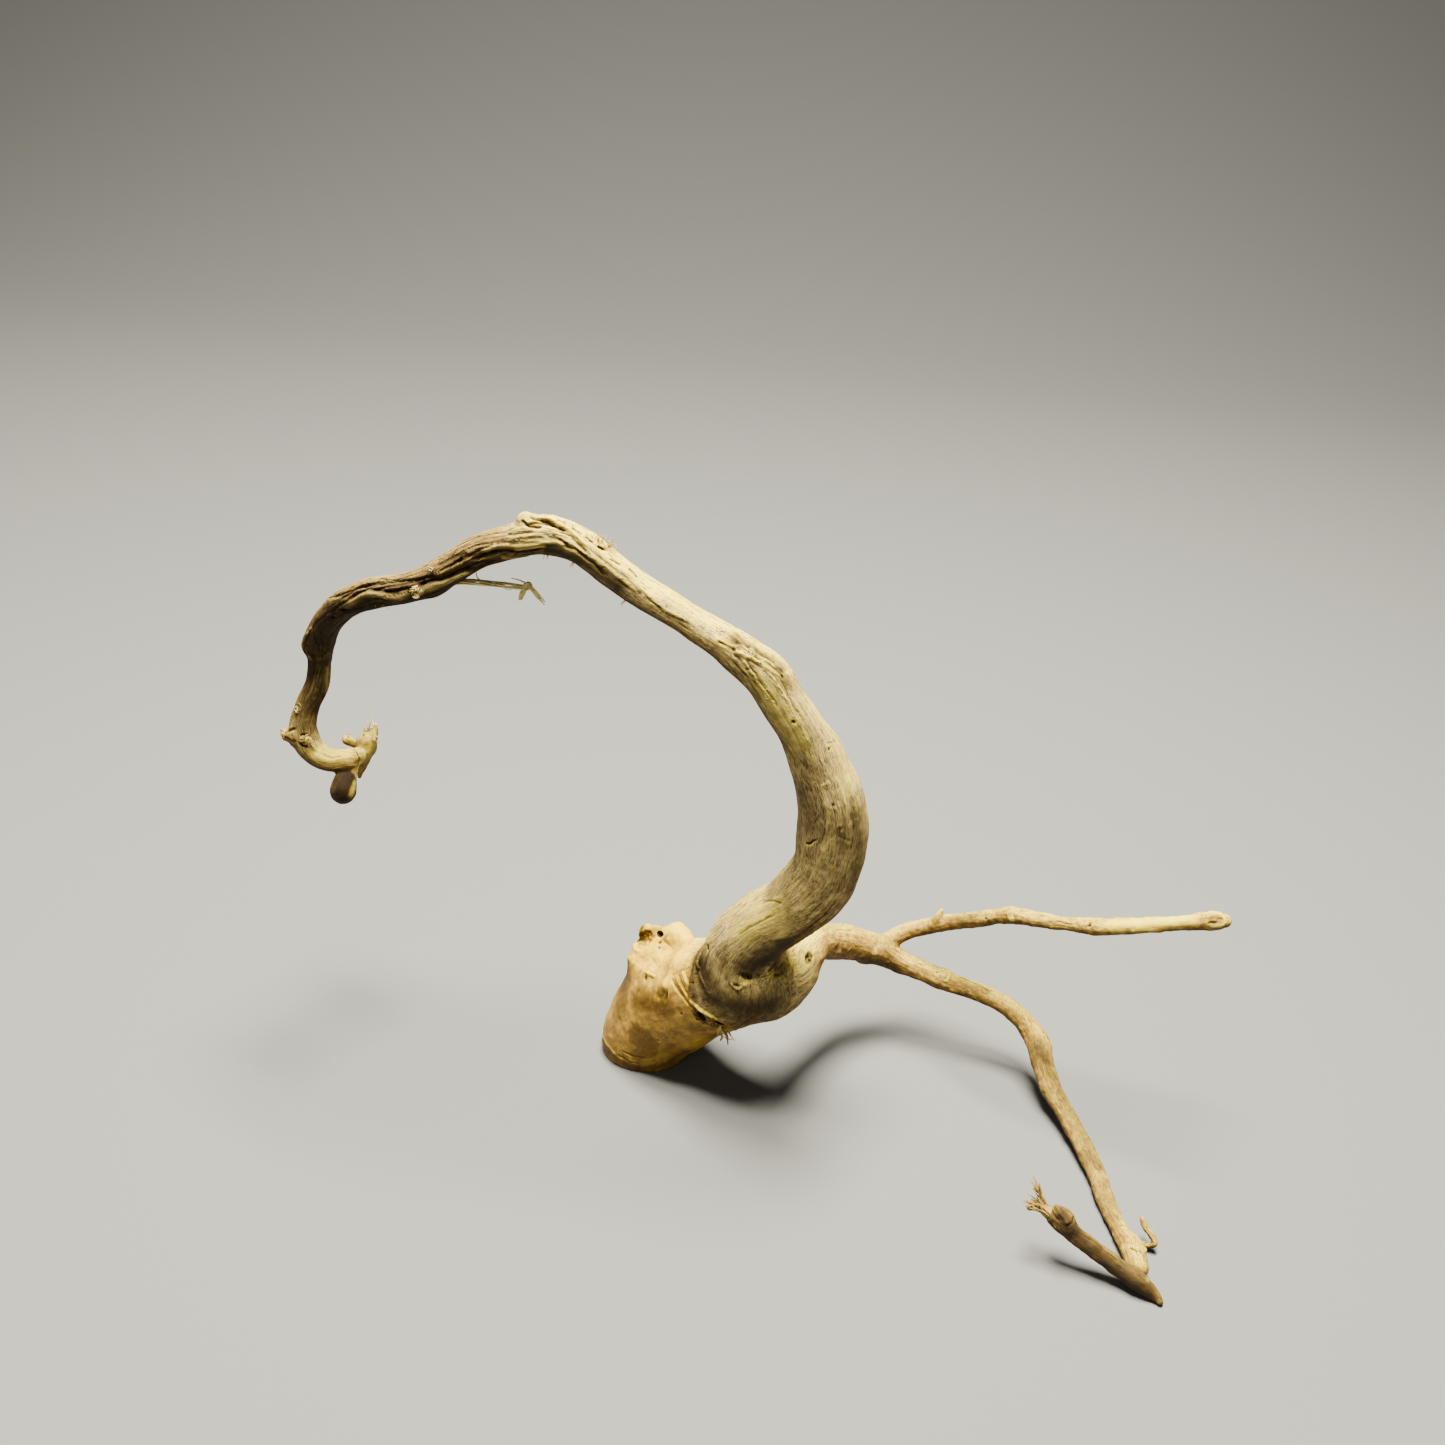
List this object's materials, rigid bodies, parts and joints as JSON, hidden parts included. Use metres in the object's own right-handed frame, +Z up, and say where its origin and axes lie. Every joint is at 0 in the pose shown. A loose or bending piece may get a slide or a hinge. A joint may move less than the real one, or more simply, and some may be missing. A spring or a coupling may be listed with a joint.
{
  "type": "branching root wood",
  "caption": "Bare branching root wood with a thick bent trunk, a high arch ending in a hook, a stump foot and a forked side branch; stands on its foot and front branch as tank or shelf decor.",
  "frame": {"origin": "middle of the stump's flat foot, on the surface that the piece stands on", "axes": "+X to the right along the longest extent, towards the branches; +Y away from the viewer; +Z up"},
  "size_m": [0.3168, 0.1267, 0.2094],
  "materials": {
    "trunk_wood": "dry bare wood, matt, fine twisting grain",
    "stump_wood": "smooth peeled wood, honey brown with dark stains, slight sheen",
    "branch_wood": "smooth peeled wood, yellow tan with brown patches",
    "twig_wood": "smooth peeled wood, brown on its underside, frayed at one end",
    "bast_fibre": "dry stringy fibre, matt"
  },
  "bodies": {
    "root": {"stump": "stump_wood", "arch_trunk": "trunk_wood", "side_branch": "branch_wood", "back_branch": "branch_wood", "front_twig": "twig_wood", "curled_twig": "twig_wood", "hook_stub": "trunk_wood", "hook_spur": "trunk_wood", "loose_fibre": "bast_fibre"}
  },
  "joints": []
}
